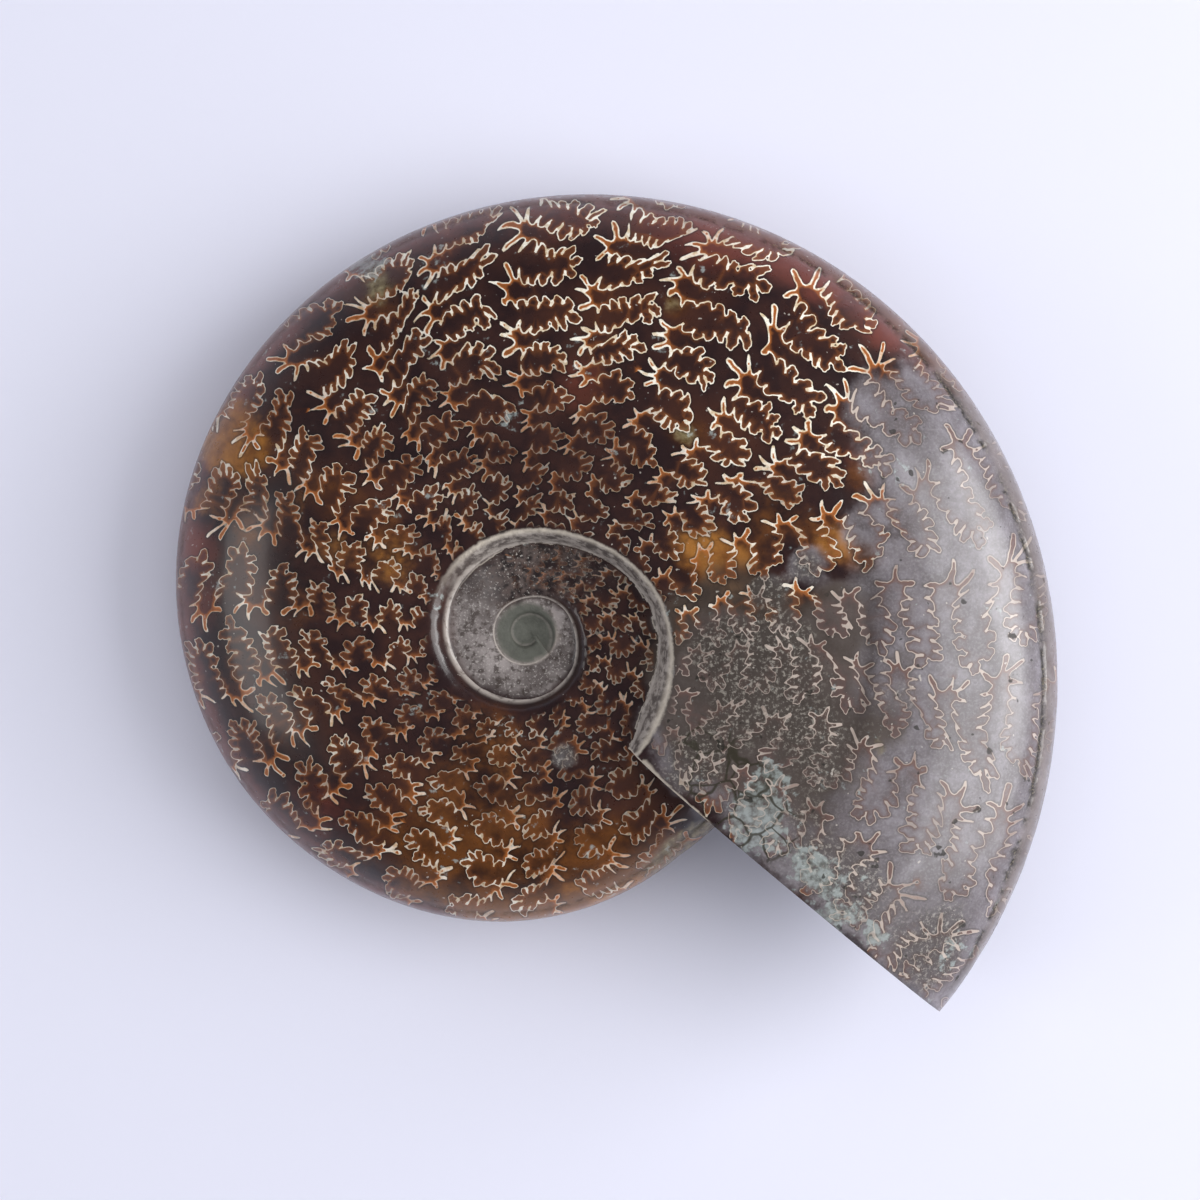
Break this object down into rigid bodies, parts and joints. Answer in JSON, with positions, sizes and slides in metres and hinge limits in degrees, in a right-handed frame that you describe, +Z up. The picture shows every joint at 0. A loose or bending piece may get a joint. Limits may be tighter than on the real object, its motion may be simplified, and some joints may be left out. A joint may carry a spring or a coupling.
{
  "type": "fossil ammonite",
  "caption": "Polished fossil ammonite lying on its flank: a flat spiral shell of overlapping whorls with a narrow umbilicus, cut straight across the last whorl.",
  "frame": {"origin": "under the middle of the shell's bounding box, on the surface it rests on", "axes": "+Z up, out of the flank that shows; +X along the longest extent, towards the last whorl's far side; the cut across the last whorl faces -Y"},
  "size_m": [0.1515, 0.14, 0.0409],
  "materials": {
    "polished_fossil": "polished"
  },
  "bodies": {
    "root": {"ammonite": "polished_fossil"}
  },
  "joints": []
}
